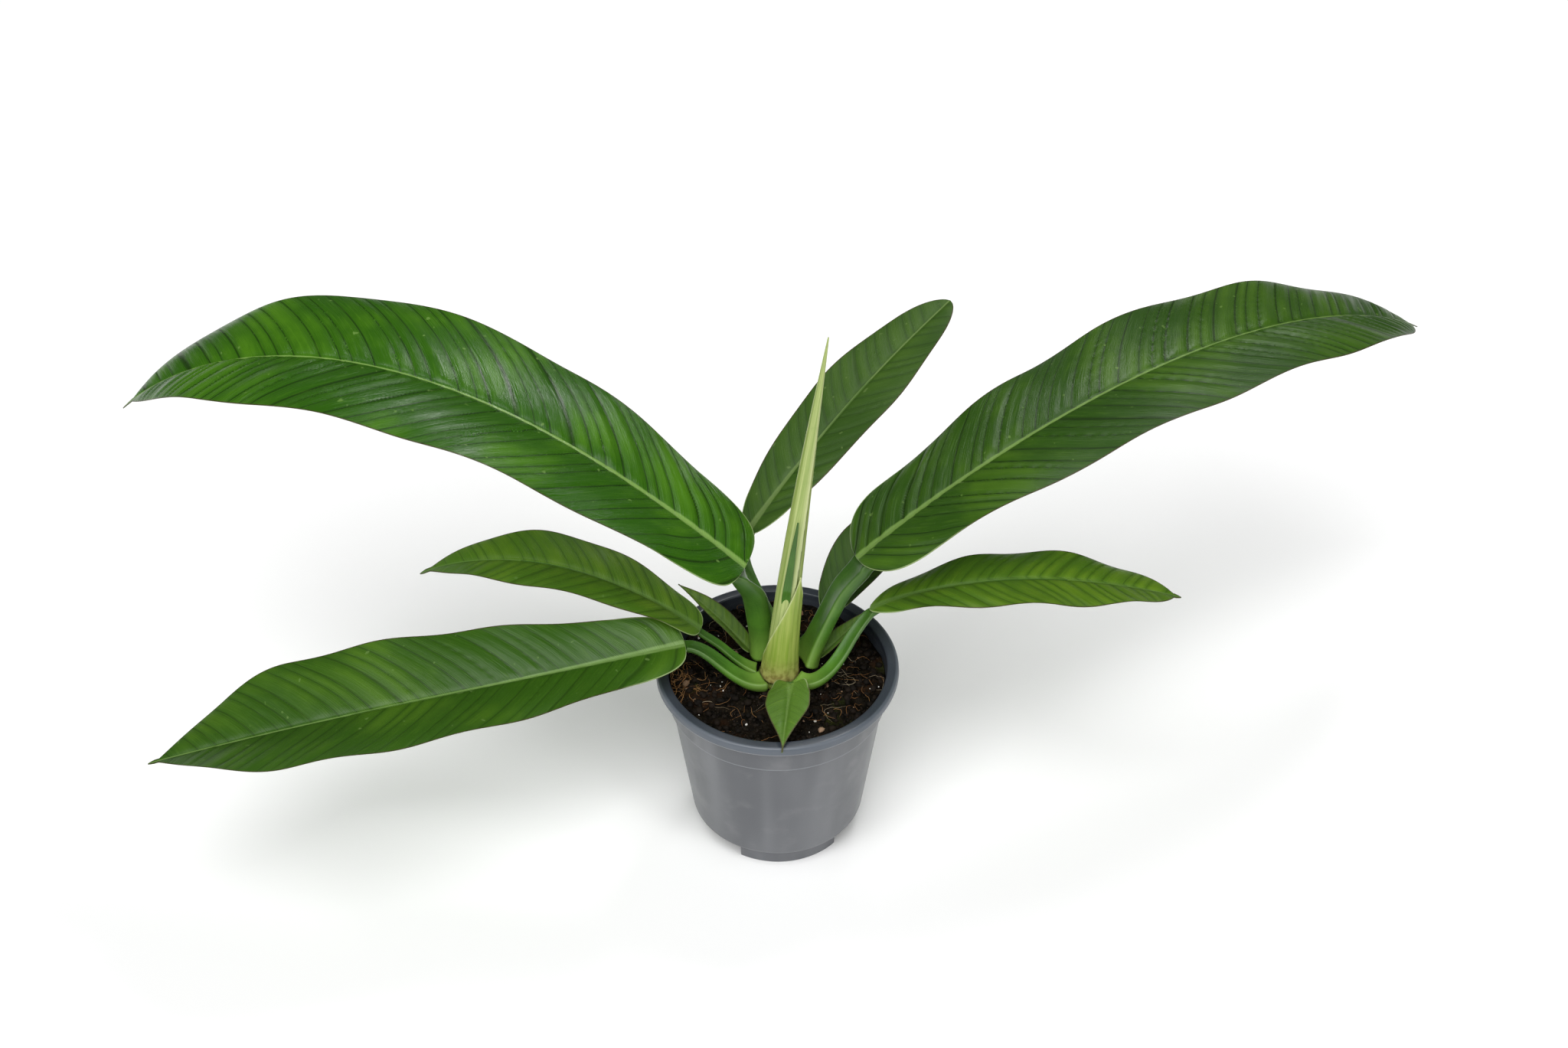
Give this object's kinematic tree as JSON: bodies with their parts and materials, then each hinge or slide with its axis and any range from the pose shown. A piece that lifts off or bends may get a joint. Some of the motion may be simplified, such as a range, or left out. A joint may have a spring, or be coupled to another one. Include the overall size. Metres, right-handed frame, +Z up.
{
  "type": "potted philodendron",
  "caption": "Young strap-leaved philodendron in a round nursery pot: long arching leaves, a rolled upright spear, and soil just below the rolled rim.",
  "frame": {"origin": "on the ground, under the middle of the plant's whole spread; the pot's axis stands a little to the left of it and in front", "axes": "+X to the plant's right along its longest spread, +Y to its back, +Z up; its front faces -Y"},
  "size_m": [0.6676, 0.2826, 0.2999],
  "materials": {
    "pot": "satin",
    "soil": "matte",
    "stalk": "satin",
    "blade": "satin",
    "young_leaf": "satin",
    "spear": "satin",
    "sheath": "satin"
  },
  "bodies": {
    "root": {"nursery_pot": "pot", "potting_soil": "soil", "stem_crown": "stalk", "left_long_stalk": "stalk", "left_long_blade": "blade", "right_long_stalk": "stalk", "right_long_blade": "blade", "back_stalk": "stalk", "back_blade": "blade", "low_left_stalk": "stalk", "low_left_blade": "blade", "mid_left_stalk": "stalk", "mid_left_blade": "blade", "low_right_stalk": "stalk", "low_right_blade": "blade", "behind_right_stalk": "stalk", "behind_right_blade": "blade", "spear_leaf": "spear", "spear_sheath": "sheath", "rolled_blade": "young_leaf", "small_left_leaf": "young_leaf", "small_right_leaf": "young_leaf", "front_leaf_stalk": "stalk", "front_leaf_blade": "young_leaf"}
  },
  "joints": []
}
